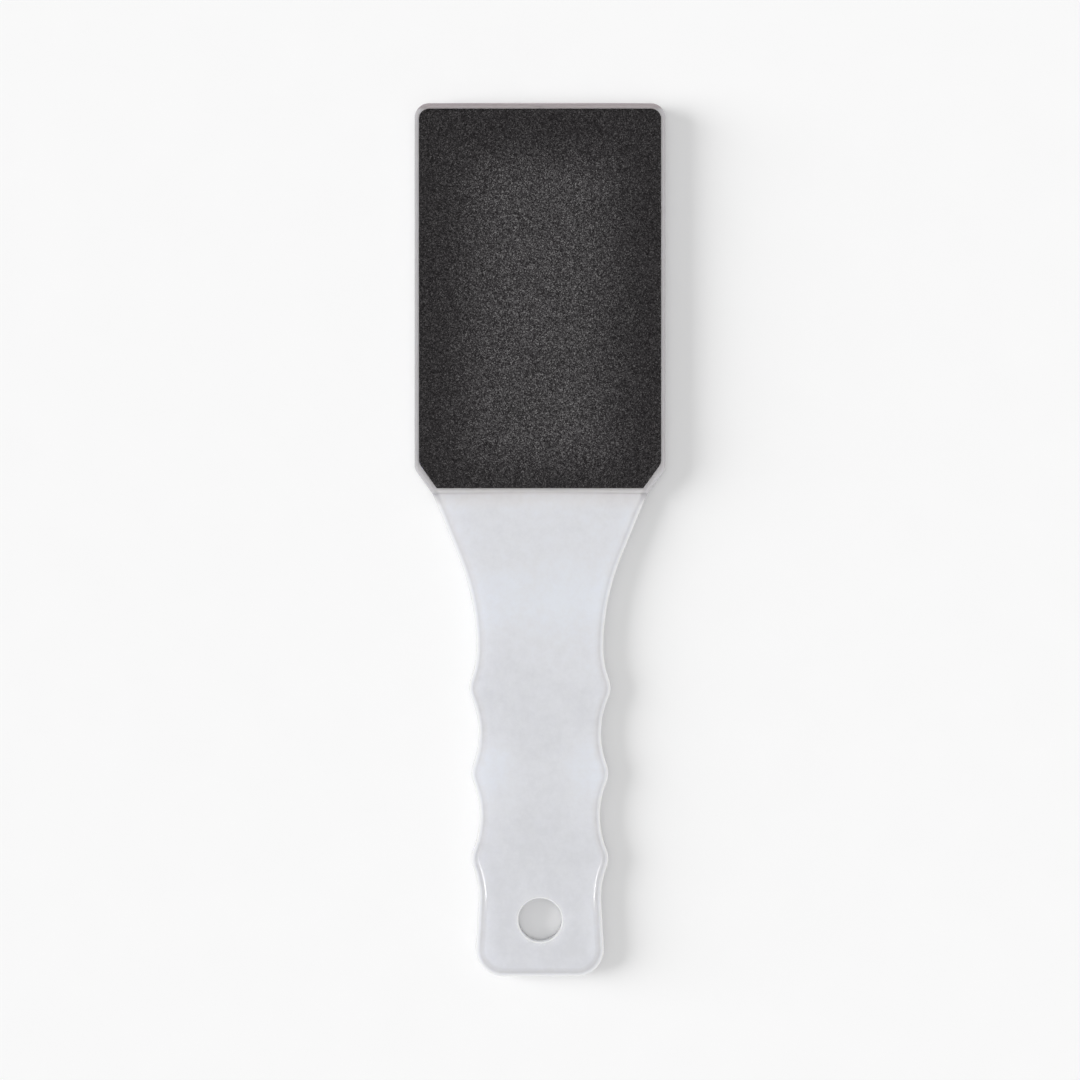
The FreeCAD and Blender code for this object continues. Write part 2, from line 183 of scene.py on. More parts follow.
neck_half_width = bump_reach[-1] - NECK_DEPTH
hollows = [hollow_beside(bumps[0], bump_reach[0] - TAIL_GROOVE_DEPTH + GROOVE_RADIUS, -1)]
hollows += [hollow_between(lower, upper) for lower, upper in zip(bumps, bumps[1:])]
hollows += [hollow_beside(bumps[-1], neck_half_width + GROOVE_RADIUS, 1)]
print("hollows at", [round((centre[1] - TAIL_END) / MM, 1) for centre in hollows], "mm from the tail's end")

# %% [markdown]
# ### Tail, neck and plate
#
# Below the bumps the tail widens a little towards its rounded corners. Above them the neck opens into the
# head on one large arc and a straight flare. Corners and arc are placed so that they touch the straight
# stretches beside them, as a compass draws them, and the head's cut corner gets a small rounding.

# %% Corners of the tail, the neck and the plate
tail_slope = math.atan(TAIL_FLARE_SHARE)
tail_normal = np.array((math.cos(tail_slope), math.sin(tail_slope)))
tail_top = hollows[0] - tail_normal * GROOVE_RADIUS
tail_corner_height = TAIL_END + TAIL_CORNER
tail_corner_across = tail_top[0] - (
    TAIL_CORNER - (tail_top[1] - tail_corner_height) * tail_normal[1]) / tail_normal[0]
tail_corner = np.array((tail_corner_across, tail_corner_height))

narrowest = np.array((neck_half_width, hollows[-1][1]))
neck_rise = NECK_CORNER_SHARE * (FLARE_END[1] - narrowest[1])
flare_angle = math.pi / 2 - heading(narrowest + (0, neck_rise), FLARE_END)
flare_way = np.array((math.sin(flare_angle), math.cos(flare_angle)))
flare_start = narrowest + (0, neck_rise) + flare_way * neck_rise
neck_radius = neck_rise / math.tan(flare_angle / 2)
neck_centre = narrowest + (neck_radius, 0)

cut_corner = np.array((HEAD_HALF_WIDTH, PLATE_BOTTOM + CUT_HEIGHT))
cut_angle = heading(FLARE_END, cut_corner)
cut_way = np.array((math.cos(cut_angle), math.sin(cut_angle)))
cut_trim = CUT_ROUND * math.tan((math.pi / 2 - cut_angle) / 2)
cut_round_centre = cut_corner + (-CUT_ROUND, cut_trim)
plate_corner = np.array((HEAD_HALF_WIDTH - PLATE_CORNER, HEAD_END - PLATE_CORNER))
print("neck arc of radius %.1f mm, flare at %.1f degrees" % (neck_radius / MM, math.degrees(flare_angle)))

# %% [markdown]
# ### Half the outline
#
# Left and right are alike, so only the right half is laid out, from the middle of the tail's end to the
# middle of the head's end. The stretches are listed in that order. At the foot of the plate the points
# stand close together, because there the skin climbs the small step from the handle to the head.

# %% Stretches from the tail's end to the head's end
STEP_GAP = 0.02 * MM
STEP_BAND = 1.2 * MM
FINE_STEP = 0.08 * MM
handle_stretches = [
    line_stretch(np.array((0, TAIL_END)), np.array((tail_corner[0], TAIL_END))),
    arc_stretch(tail_corner, TAIL_CORNER, -math.pi / 2, tail_slope, CONVEX),
    line_stretch(tail_corner + tail_normal * TAIL_CORNER, tail_top),
]
entry = math.pi + tail_slope
for hollow, bump, above in zip(hollows, bumps, hollows[1:]):
    handle_stretches.append(arc_stretch(hollow, GROOVE_RADIUS, entry, heading(hollow, bump), CONCAVE))
    bump_entry = heading(bump, hollow) - math.tau
    handle_stretches.append(arc_stretch(bump, BUMP_RADIUS, bump_entry, heading(bump, above), CONVEX))
    entry = heading(above, bump)
handle_stretches += [
    arc_stretch(hollows[-1], GROOVE_RADIUS, entry, math.pi, CONCAVE),
    arc_stretch(neck_centre, neck_radius, math.pi, math.pi - flare_angle, CONCAVE),
    line_stretch(flare_start, FLARE_END - flare_way * STEP_GAP, ARC_STEP),
]
band_end = FLARE_END + cut_way * STEP_BAND
plate_stretches = [
    line_stretch(FLARE_END, band_end, FINE_STEP),
    line_stretch(band_end, cut_corner - cut_way * cut_trim, ARC_STEP),
    arc_stretch(cut_round_centre, CUT_ROUND, cut_angle - math.pi / 2, 0, CONVEX),
    line_stretch(cut_corner + (0, cut_trim), plate_corner + (PLATE_CORNER, 0)),
    arc_stretch(plate_corner, PLATE_CORNER, 0, math.pi / 2, CONVEX),
    line_stretch(np.array((plate_corner[0], HEAD_END)), np.array((0, HEAD_END))),
]
print("stretches:", len(handle_stretches), "on the handle,", len(plate_stretches), "on the plate")

# %% One run of points


def join_stretches(stretches):
    """One run of points and of outward ways.

    Each stretch starts where the one before it ended, so its first point is dropped.
    """
    points = [stretches[0][0]] + [stretch[0][1:] for stretch in stretches[1:]]
    ways = [stretches[0][1]] + [stretch[1][1:] for stretch in stretches[1:]]
    return np.concatenate(points), np.concatenate(ways)


handle_rim, handle_outwards = join_stretches(handle_stretches)
plate_rim, plate_outwards = join_stretches(plate_stretches)
rim = np.concatenate((handle_rim, plate_rim))
outwards = np.concatenate((handle_outwards, plate_outwards))
on_plate = np.arange(len(rim)) >= len(handle_rim)
print("half outline:", len(rim), "points, widest", round(rim[:, 0].max() / MM, 2), "mm")

# %% [markdown]
# ## The paddle's skin
#
# The moulding is the same above and below its middle level, and at each place it stands as high as the
# plate or the handle, whichever is higher. So its skin can be one grid: one parameter runs along the
# outline, the other from the rim over its rounded edge and in across the face. A Boolean of two bevelled
# plates would do too, but it leaves long thin faces that spoil the gloss.

# %% Height of the skin
NO_SKIN = -1.0


def rounded_edge(top, drop, width, depth):
    """Height of an elliptic edge: top - drop * (1 - sqrt(1 - t^2)), with t = 1 - depth / width."""
    short = np.clip(1 - depth / width, 0, 1)
    return np.where(depth < 0, NO_SKIN, top - drop * (1 - np.sqrt(1 - short ** 2)))


def crowned_face(across):
    """Half the handle's thickness: a shallow arc that falls away from the centre line."""
    return HANDLE_HALF_THICKNESS - CROWN_RADIUS + np.sqrt(CROWN_RADIUS ** 2 - across ** 2)


def skin_height(across, along, depth, plate_side):
    """The higher of plate and handle, each with its own rounded edge, at a depth inside the outline."""
    flare_depth = (FLARE_END[0] - across) * flare_way[1] + (along - FLARE_END[1]) * flare_way[0]
    handle_depth = np.where(plate_side, flare_depth, depth)
    above_foot = along - PLATE_BOTTOM
    plate_depth = np.where(plate_side, np.minimum(depth, above_foot), above_foot)
    handle = rounded_edge(crowned_face(across), HANDLE_ROUND, HANDLE_ROUND_WIDTH, handle_depth)
    plate = rounded_edge(PLATE_HALF_THICKNESS, PLATE_ROUND, PLATE_ROUND, plate_depth)
    return np.maximum(handle, plate)


crown_fall = HANDLE_HALF_THICKNESS - crowned_face(BUMP_HALF_WIDTH)
print("the handle's face falls %.2f mm from its middle to the bumps" % (crown_fall / MM))

# %% [markdown]
# ### A grid over half the face
#
# Each point of the outline starts one line of the grid, which runs inwards. Round the tail the lines end
# on the rim of the hanging hole, further up on the centre line. In between, their ends climb from the
# hole's top little by little, and at the head they fan into the corner, so that no line crosses another.

# %% Where each line of the grid ends
HOLE_SPREAD = 22 * MM
SLIT_SETTLED = 40 * MM
rim_reach = HOLE_RADIUS + HOLE_RIM_ROUND
hole_top = HOLE_CENTRE[1] + rim_reach
spread_end = HOLE_CENTRE[1] + HOLE_SPREAD
settled_end = spread_end + SLIT_SETTLED

# On the hole's rim
below = np.arctan2(rim[:, 1] - HOLE_CENTRE[1], rim[:, 0])
above_hole = (rim[:, 1] - HOLE_CENTRE[1]) / HOLE_SPREAD * math.pi / 2
hole_angle = np.where(rim[:, 1] < HOLE_CENTRE[1], below, np.minimum(above_hole, math.pi / 2))
at_hole = rim[:, 1] < spread_end
last_at_hole = np.flatnonzero(at_hole)[-1]
hole_angle[last_at_hole] = math.pi / 2
hole_rim = HOLE_CENTRE + rim_reach * np.stack((np.cos(hole_angle), np.sin(hole_angle)), axis=1)

# On the centre line
slit_start = rim[last_at_hole, 1]
slit_share = np.clip((rim[:, 1] - slit_start) / (settled_end - slit_start), 0, 1)
slit = np.where(slit_share < 1, hole_top + slit_share * (settled_end - hole_top), rim[:, 1])
over_corner = rim[:, 1] > plate_corner[1]
corner_start = np.flatnonzero(over_corner)[0]
top_share = np.clip((np.arange(len(rim)) - corner_start + 1) / (len(rim) - corner_start), 0, 1)
slit = np.where(over_corner, plate_corner[1] + top_share * (PLATE_CORNER - 2 * PLATE_ROUND), slit)

inner = np.where(at_hole[:, None], hole_rim, np.stack((np.zeros(len(rim)), slit), axis=1))
inner[last_at_hole] = (0, hole_top)
inner[0] = (0, HOLE_CENTRE[1] - rim_reach)
print(int(at_hole.sum()), "lines end on the hole's rim,", int((~at_hole).sum()), "on the centre line")

# %% The face and its rounded edge
EDGE_POINTS = 12
FACE_POINTS = 9
square_on = (rim[:, 1] < tail_corner[1]) | over_corner
inwards = np.where(square_on[:, None], -outwards, np.array((-1.0, 0.0)))
slant = -(inwards * outwards).sum(axis=1)
settle = np.clip((rim[:, 1] - PLATE_BOTTOM - PLATE_ROUND) / CUT_HEIGHT, 0, 1)
edge_reach = HANDLE_ROUND_WIDTH + (PLATE_ROUND - HANDLE_ROUND_WIDTH) * settle
turn = np.linspace(0, math.pi / 2, EDGE_POINTS)
edge_depth = edge_reach[:, None] * (1 - np.cos(turn))
edge_grid = rim[:, None] + inwards[:, None] * (edge_depth / slant[:, None])[:, :, None]
share = np.linspace(0, 1, FACE_POINTS)[None, 1:, None]
face_grid = edge_grid[:, -1:] + (inner[:, None] - edge_grid[:, -1:]) * share
run = np.linalg.norm(face_grid - edge_grid[:, -1:], axis=2) * slant[:, None]
flat = np.concatenate((edge_grid, face_grid), axis=1)
depth = np.concatenate((edge_depth, edge_reach[:, None] + run), axis=1)
height = skin_height(flat[..., 0], flat[..., 1], depth, on_plate[:, None])
print("face grid:", height.shape, "with a top of %.2f mm" % (height.max() / MM))

# %% [markdown]
# ### The wall and its parting line
#
# Where the two halves of a mould meet, the plastic keeps a faint ridge. So the wall under the rounded edge
# has two more rows: one at the ridge's foot, and one on its crest at the middle level. Each point also
# keeps its distance from the outline, which the finish uses later; on the wall that distance is below zero.

# %% Wall, parting ridge and distance from the outline
PARTING_RIDGE = 0.04 * MM
PARTING_HALF_WIDTH = 0.15 * MM
WALL_DEPTH = 0.6 * MM
wall = rim - outwards * PARTING_RIDGE
ridge_level = np.minimum(PARTING_HALF_WIDTH, height[:, 0] / 2)
shift = PARTING_RIDGE * np.clip(1 - depth / edge_reach[:, None], 0, 1)
flat -= outwards[:, None] * shift[:, :, None]
flat = np.concatenate((rim[:, None], wall[:, None], flat), axis=1)
height = np.concatenate((np.zeros((len(rim), 1)), ridge_level[:, None], height), axis=1)
gap = np.concatenate((np.full((len(rim), 2), -WALL_DEPTH), depth), axis=1)
print("half skin grid:", height.shape)

# %% [markdown]
# ## Closing the skin
#
# The grid is a quarter of the moulding. Its mirror images give the other three quarters, and a small collar
# lines the hanging hole. Where the quarters meet, their points fall on each other, so merging them closes
# the skin. It then rides on the file's one body, and stands for the bare solid.

# %% A grid in four quarters


def grid_faces(rows, columns, start, flipped):
    """Quads between neighbouring lines of a grid whose points are numbered from start.

    Flipped turns the quads the other way round.
    """
    corner = start + np.arange(rows - 1)[:, None] * columns + np.arange(columns - 1)
    quads = np.stack((corner, corner + 1, corner + columns + 1, corner + columns), axis=2)
    quads = quads.reshape(-1, 4)
    return quads[:, ::-1] if flipped else quads


def mirrored_quarters(across, along, high, extra):
    """The grid in all four quarters: x to -x, and z to -z about the middle level.

    The faces are turned to match, and each point keeps its extra number.
    """
    points, faces, values = [], [], []
    for side in (1, -1):
        for level in (1, -1):
            corners = np.stack((side * across, along, MIDDLE_LEVEL + level * high), axis=2).reshape(-1, 3)
            faces.append(grid_faces(*high.shape, sum(map(len, points)), side * level < 0))
            points.append(corners)
            values.append(extra.ravel())
    return np.concatenate(points), np.concatenate(faces), np.concatenate(values)


skin_points, skin_faces, skin_gap = mirrored_quarters(flat[..., 0], flat[..., 1], height, gap)
print("skin in four quarters:", len(skin_points), "points,", len(skin_faces), "faces")

# %% The collar in the hanging hole
COLLAR_POINTS = 7
# What the bore and its rim keep as their distance from an edge, which sets their painted glow and painted
# shade
COLLAR_DEPTHS = np.array((-0.6, 1.1)) * MM
collar_angle = hole_angle[at_hole]
collar_turn = np.linspace(0, math.pi / 2, COLLAR_POINTS)
collar_reach = np.append(HOLE_RADIUS + HOLE_RIM_ROUND * (1 - np.sin(collar_turn)), HOLE_RADIUS)
collar_fall = HOLE_RIM_ROUND * (1 - np.cos(collar_turn))
collar_face = crowned_face(rim_reach * np.cos(collar_angle))[:, None]
collar_high = np.concatenate((collar_face - collar_fall, np.zeros_like(collar_face)), axis=1)
collar_across = np.cos(collar_angle)[:, None] * collar_reach
collar_along = HOLE_CENTRE[1] + np.sin(collar_angle)[:, None] * collar_reach
# The first and the last line lie exactly on the centre line
collar_across[[0, -1]] = 0
collar_depth = COLLAR_DEPTHS[0] + (collar_reach - HOLE_RADIUS) / HOLE_RIM_ROUND * np.ptp(COLLAR_DEPTHS)
collar_points, collar_faces, collar_gap = mirrored_quarters(
    collar_across, collar_along, collar_high, np.repeat(collar_depth[None], len(collar_high), axis=0))
print("collar:", len(collar_points), "points,", len(collar_faces), "faces")

# %% The paddle's mesh
MERGE_DISTANCE = 1e-6


def built_object(name, points, faces, domain, attribute, values, merge=False):
    """A mesh object from points and faces, with one number kept at each point or face.

    Doubles are merged if asked, and the faces are turned outwards.
    """
    mesh = bpy.data.meshes.new(name)
    mesh.from_pydata(points.tolist(), [], faces)
    mesh.attributes.new(attribute, "FLOAT", domain).data.foreach_set("value", values.astype(np.float32))
    work = bmesh.new()
    work.from_mesh(mesh)
    if merge:
        bmesh.ops.remove_doubles(work, verts=work.verts, dist=MERGE_DISTANCE)
        bmesh.ops.dissolve_degenerate(work, dist=MERGE_DISTANCE, edges=work.edges)
    bmesh.ops.recalc_face_normals(work, faces=work.faces)
    open_edges = sum(not edge.is_manifold for edge in work.edges)
    work.to_mesh(mesh)
    work.free()
    made = bpy.data.objects.new(name, mesh)
    bpy.context.scene.collection.objects.link(made)
    print("%s: %d faces, %d open edges" % (name, len(mesh.polygons), open_edges))
    return made


paddle_points = np.concatenate((skin_points, collar_points))
paddle_faces = np.concatenate((skin_faces, collar_faces + len(skin_points)))
paddle_gap = np.concatenate((skin_gap, collar_gap)) / MM
paddle = built_object(
    "moulded_paddle", paddle_points, paddle_faces.tolist(), "POINT", "edge_gap", paddle_gap, merge=True)
paddle.data.polygons.foreach_set("use_smooth", np.ones(len(paddle.data.polygons), dtype=bool))
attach(paddle, "root")
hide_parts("paddle")

# %% [markdown]
# ## The grit coats
#
# Abrasive paper is a bed of resin with thousands of sharp grains standing in it. A bump map would give
# it sparkle but a smooth edge. Here each grain is a small four-sided peak: a jittered grid gives the
# valleys between the grains, and a point in the middle of each cell, lifted by a random amount, gives
# the grain's tip. Flat shading keeps the facets crisp.

# %% Outline of the sheets
SHEET_CORNER = PLATE_CORNER - (HEAD_HALF_WIDTH - sheet_high.x)


def sheet_half_width(along):
    """Half the sheet's width at a height: slanted cut, short round, straight side, quarter round."""
    half = sheet_high.x
    cut_top = sheet_low.y + CUT_HEIGHT
    width = np.minimum(half, half + (along - cut_top) * CUT_WIDTH / CUT_HEIGHT)
    round_centre = cut_top + cut_trim
    round_height = np.maximum(0, CUT_ROUND ** 2 - (along - round_centre) ** 2)
    in_round = (along > round_centre - CUT_ROUND * math.cos(cut_angle)) & (along < round_centre)
    width = np.where(in_round, half - CUT_ROUND + np.sqrt(round_height), width)
    corner_centre = sheet_high.y - SHEET_CORNER
    over = np.clip(along - corner_centre, 0, SHEET_CORNER)
    return width - SHEET_CORNER + np.sqrt(SHEET_CORNER ** 2 - over ** 2)


print("sheet %.1f by %.1f mm" % (2 * sheet_high.x / MM, (sheet_high.y - sheet_low.y) / MM))

# %% Points of the grains
# Rises are shares of the coat's thickness, and the jitter is a share of the spacing of the grains
VALLEY_SHARES = (0.30, 0.52)
TIP_SHARES = (0.50, 1.0)
TIP_SPREAD = (2.0, 2.6)
EDGE_SHARES = (0.35, 0.55)
JITTER_SHARE = 0.36
RAGGED_EDGE = 0.10 * MM


def cell_mean(grid):
    """Mean of the four corners of each cell of a grid."""
    return (grid[:-1, :-1] + grid[1:, :-1] + grid[:-1, 1:] + grid[1:, 1:]) / 4


def grain_points(low, high, pitch, draw):
    """Valleys and tips of the grains on a sheet, as places across and along and rises in the coat.

    A valley lies at u times the half width, u from -1 to 1, and at an even step along, both moved at
    random. A tip stands over the mean of a cell's corners, moved too, and rises by a beta distribution.
    """
    columns = int((high.x - low.x) / pitch) + 1
    rows = int((high.y - low.y) / pitch) + 1
    u = np.linspace(-1, 1, columns)[None, :] + np.zeros((rows, 1))
    along = np.linspace(low.y, high.y, rows)[:, None] + np.zeros((1, columns))
    inside = np.zeros((rows, columns))
    inside[1:-1, 1:-1] = 1
    across = u * sheet_half_width(along)
    across += inside * draw.uniform(-JITTER_SHARE, JITTER_SHARE, across.shape) * pitch
    along += inside * draw.uniform(-JITTER_SHARE, JITTER_SHARE, across.shape) * pitch
    ragged = draw.uniform(0, RAGGED_EDGE, across.shape) * (1 - inside)
    off_middle = along - (low.y + high.y) / 2
    at_end = np.abs(off_middle) > (high.y - low.y) / 2 - pitch / 2
    across -= np.sign(u) * ragged
    along -= np.sign(off_middle) * ragged * at_end
    valley = draw.uniform(*VALLEY_SHARES, across.shape)
    rise = np.where(inside > 0, valley, draw.uniform(*EDGE_SHARES, across.shape))

    cells = (rows - 1, columns - 1)
    tip_across = cell_mean(across) + draw.uniform(-JITTER_SHARE, JITTER_SHARE, cells) * pitch / 2
    tip_along = cell_mean(along) + draw.uniform(-JITTER_SHARE, JITTER_SHARE, cells) * pitch / 2
    tip_rise = TIP_SHARES[0] + np.ptp(TIP_SHARES) * draw.beta(*TIP_SPREAD, cells)
    return np.stack((across, along, rise), axis=2), np.stack((tip_across, tip_along, tip_rise), axis=2)


print("a tip rises by", TIP_SHARES[0], "to", TIP_SHARES[1], "of the coat")

# %% Facets of the grains
FACETS = 4


def grain_facets(rows, columns):
    """Four triangles round each tip, and the numbers of the points round the sheet's border.

    Valleys are numbered row by row, and the tips of the cells follow them in the same order.
    """
    number = np.arange(rows * columns).reshape(rows, columns)
    tip = rows * columns + np.arange((rows - 1) * (columns - 1)).reshape(rows - 1, columns - 1)
    ring = (number[:-1, :-1], number[:-1, 1:], number[1:, 1:], number[1:, :-1])
    facets = [np.stack((ring[k], ring[(k + 1) % FACETS], tip), axis=2) for k in range(FACETS)]
    facets = np.concatenate([facet.reshape(-1, 3) for facet in facets])
    border = np.concatenate((number[0, :-1], number[:-1, -1], number[-1, :0:-1], number[:0:-1, 0]))
    return facets, border


print("one cell has", len(grain_facets(2, 2)[0]), "facets")

# %% Both coats
FRONT_PITCH = 0.44 * MM
REAR_PITCH = 0.40 * MM
FRONT_SEED = 11
REAR_SEED = 23
BED_TONE = 0.3


def grit_coat(name, node, pitch, seed, up):
    """A closed coat of grains in a node's box, facing up or down: facets, a wall round them and a foot."""
    low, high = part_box(node)
    draw = np.random.default_rng(seed)
    valleys, tips = grain_points(low, high, pitch, draw)
    facets, border = grain_facets(*valleys.shape[:2])
    feet = valleys.reshape(-1, 3)[border].copy()
    feet[:, 2] = 0
    points = np.concatenate((valleys.reshape(-1, 3), tips.reshape(-1, 3), feet))
    base, face = (low.z, high.z - low.z) if up else (high.z, low.z - high.z)
    points[:, 2] = base + face * points[:, 2]

    foot = len(points) - len(feet) + np.arange(len(feet))
    walls = np.stack((border, foot, np.roll(foot, -1), np.roll(border, -1)), axis=1)
    faces = facets.tolist() + walls.tolist() + [foot[::-1].tolist()]
    facet_tone = draw.uniform(0, 1, len(facets))
    grain_tone = np.concatenate((facet_tone, np.full(len(walls) + 1, BED_TONE)))
    made = built_object(name, points, faces, "FACE", "grain_tone", grain_tone)
    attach(made, "root")
    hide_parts(node)
    print("%s: %d grains" % (name, len(facets) // FACETS))
    return made


front_grit = grit_coat("front_grains", "front_grit_coat", FRONT_PITCH, FRONT_SEED, True)
rear_grit = grit_coat("rear_grains", "rear_grit_coat", REAR_PITCH, REAR_SEED, False)

# %% [markdown]
# ## Finishes
#
# Each finish is a small node tree on object coordinates, so its grain stays put on the piece from every
# side. A helper adds nodes and links in one call, which keeps each recipe short enough to read as a list
# of causes.

# %% A helper for finishes
# The Mix node has sockets for each kind of data, and these are the numbers of those for colours
MIX_INPUTS = (0, 6, 7)
MIX_OUTPUT = 2
# A ramp's new stops start in its middle, and are then moved to their places
NEW_STOP = 0.5
NOISE_SPAN = (0.3, 0.7)


class Finish:
    """A material under construction: add nodes by type, set sockets by name, link outputs to inputs."""

    def __init__(self, name):
        self.material = bpy.data.materials.new(name)
        self.material.use_nodes = True
        self.tree = self.material.node_tree
        self.shader = self.tree.nodes["Principled BSDF"]

    def put(self, socket, value):
        """A value or a link on one socket."""
        if isinstance(value, bpy.types.NodeSocket):
            self.tree.links.new(value, socket)
        else:
            socket.default_value = value

    def node(self, kind, **settings):
        """A new node; a setting is one of the node's own choices or, if it has none so named, a socket."""
        made = self.tree.nodes.new("ShaderNode" + kind)
        for key, value in settings.items():
            if hasattr(made, key):
                setattr(made, key, value)
            else:
                self.put(made.inputs[key.replace("_", " ")], value)
        return made

    def set_shader(self, **settings):
        """Sockets of the Principled shader."""
        for key, value in settings.items():
            self.put(self.shader.inputs[key.replace("_", " ")], value)

    def place(self):
        """Object coordinates."""
        return self.node("TexCoord").outputs["Object"]

    def attribute(self, name):
        """A number stored on the mesh."""
        return self.node("Attribute", attribute_name=name).outputs["Fac"]

    def noise(self, scale, detail=2.0, roughness=0.5):
        """Cloud noise, with so many clouds to the metre."""
        made = self.node("TexNoise", Vector=self.place(), Scale=scale, Detail=detail, Roughness=roughness)
        return made.outputs["Fac"]

    def ramp(self, factor, *stops, smooth=False):
        """A colour ramp: each stop is a place from 0 to 1 and a colour."""
        made = self.node("ValToRGB", Fac=factor)
        if smooth:
            made.color_ramp.interpolation = "B_SPLINE"
        points = made.color_ramp.elements
        while len(points) < len(stops):
            points.new(NEW_STOP)
        for point, (where, colour) in zip(points, stops):
            point.position = where
            point.color = (*colour, 1)
        return made.outputs["Color"]

    def curve(self, factor, stops):
        """A smooth run of numbers: each stop is a place from 0 to 1 and a number."""
        return self.ramp(factor, *((where, even(number)) for where, number in stops), smooth=True)

    def ranged(self, value, low, high, new_low=0.0, new_high=1.0, kind="LINEAR"):
        """A number moved from one range to another and held at its ends."""
        made = self.node("MapRange", Value=value, interpolation_type=kind)
        limits = {"From Min": low, "From Max": high, "To Min": new_low, "To Max": new_high}
        for key, number in limits.items():
            made.inputs[key].default_value = number
        return made.outputs["Result"]

    def spread(self, noise, low, high):
        """Noise, which rarely leaves the middle of its range, spread over another range."""
        return self.ranged(noise, *NOISE_SPAN, low, high)

    def math(self, operation, *values):
        """One step of arithmetic on numbers."""
        made = self.node("Math", operation=operation)
        for socket, value in zip(made.inputs, values):
            self.put(socket, value)
        return made.outputs["Value"]

    def mixed(self, factor, first, second, blend="MIX"):
        """Two colours mixed by a factor."""
        made = self.node("Mix", data_type="RGBA", blend_type=blend)
        for number, value in zip(MIX_INPUTS, (factor, first, second)):
            self.put(made.inputs[number], value)
        return made.outputs[MIX_OUTPUT]

    def bumped(self, height, distance):
        """A normal that follows a height."""
        return self.node("Bump", Height=height, Distance=distance).outputs["Normal"]


print("a finish can be given:", [name for name in vars(Finish) if not name.startswith("_")])

# %% Colours
# The screen's standard curve: a straight foot, then a power
FULL_LEVEL = 255
FOOT_END = 0.04045
FOOT_SLOPE = 12.92
CURVE_OFFSET = 0.055
CURVE_POWER = 2.4


def hue(red, green, blue):
    """A colour as a screen shows it, from 0 to 255, turned into the linear light that shaders work in."""
    shown = np.array((red, green, blue)) / FULL_LEVEL
    curved = ((shown + CURVE_OFFSET) / (1 + CURVE_OFFSET)) ** CURVE_POWER
    return tuple(np.where(shown <= FOOT_END, shown / FOOT_SLOPE, curved).tolist())


def grey(level):
    """A neutral colour at one screen level."""
    return hue(level, level, level)


def even(value):
    """A plain number in the form of a neutral colour, for ramps that carry numbers."""
    return (value, value, value)


WHITE = grey(FULL_LEVEL)
print("white is", WHITE, "and a middle grey", [round(value, 3) for value in grey(FULL_LEVEL // 2)])

# %% [markdown]
# ### Milky plastic
#
# The paddle is translucent white plastic with a mould's gloss. Light enters it, scatters a few
# millimetres and comes out again, which is what the subsurface setting does. More light and shade is
# painted into its colour: a painted glow on the thin rounded edge, with a painted dark line of shade just
# inside it, painted shade that turns the plastic grey close to the black sheets, which swallow the
# wandering light, and a painted sheen in bands and patches along the handle. The glow, the line and the
# grey depend on a distance, so each point of the mesh keeps two: to the outline and to the sheet.

# %% Distances to the sheet, in millimetres
GAP_LIMIT = 10.0


def beyond_sheet(across, along):
    """How far a point lies outside the sheet: the largest of its distances to side, foot, top and cut."""
    side = np.abs(across) - sheet_high.x
    ends = np.maximum(sheet_low.y - along, along - sheet_high.y)
    cut = (side + CUT_WIDTH) * CUT_HEIGHT - (along - sheet_low.y) * CUT_WIDTH
    return np.maximum(np.maximum(side, ends), cut / math.hypot(CUT_WIDTH, CUT_HEIGHT))


places = np.empty(3 * len(paddle.data.vertices))
paddle.data.vertices.foreach_get("co", places)
places = places.reshape(-1, 3)
sheet_gap = np.minimum(beyond_sheet(places[:, 0], places[:, 1]) / MM, GAP_LIMIT)
gaps = paddle.data.attributes.new("sheet_gap", "FLOAT", "POINT")
gaps.data.foreach_set("value", sheet_gap.astype(np.float32))
print("distance to the sheet: from %.1f to %.1f mm" % (sheet_gap.min(), sheet_gap.max()))

# %% Milky plastic: clouds, and a painted sheen in bands and patches
# A stop is a share of the handle's length, from the tail up, and how much painted sheen lies there
SHEEN_BANDS = ((0.00, 0.08), (0.20, 0.10), (0.31, 0.12), (0.43, 0.46), (0.49, 0.0),
               (0.56, 0.06), (0.70, 0.45), (0.78, 0.95), (0.87, 0.34), (1.00, 0.50))
SHEEN_PATCHES = ((0.33, 0.0), (0.42, 0.45), (0.48, 0.45), (0.57, 0.0))
FLANK = (3 * MM, 12 * MM)
# Noises are given by their clouds to the metre, their detail and their roughness
CLOUDS = (70.0, 3.0, 0.6)
CLOUD_SWING = 0.14
MOTTLE = (420.0, 3.0, 0.7)
MOTTLE_SWING = 0.20
plastic = Finish("milky_plastic")
spot = plastic.node("SeparateXYZ", Vector=plastic.place()).outputs
along_share = plastic.ranged(spot["Y"], TAIL_END, PLATE_BOTTOM)
sheen_band = plastic.curve(along_share, SHEEN_BANDS)
sheen_patch = plastic.curve(along_share, SHEEN_PATCHES)
flank = plastic.ranged(plastic.math("ABSOLUTE", spot["X"]), *FLANK, kind="SMOOTHSTEP")
cloud = plastic.spread(plastic.noise(*CLOUDS), -CLOUD_SWING, CLOUD_SWING)
mottle = plastic.spread(plastic.noise(*MOTTLE), -MOTTLE_SWING, MOTTLE_SWING)
# The clouds and mottle are the plastic's own tone; the bands and the patches on the flanks add a painted
# sheen
milk_and_sheen = plastic.math("ADD", plastic.math("ADD", cloud, mottle), sheen_band)
milk_and_sheen = plastic.math("MULTIPLY_ADD", sheen_patch, flank, milk_and_sheen)
print("clouds and bands:", len(plastic.tree.nodes), "nodes")

# %% Milky plastic: paler sides of the tail
TAIL_FADE = (14 * MM, 26 * MM)
END_FADE = (3 * MM, 9 * MM)
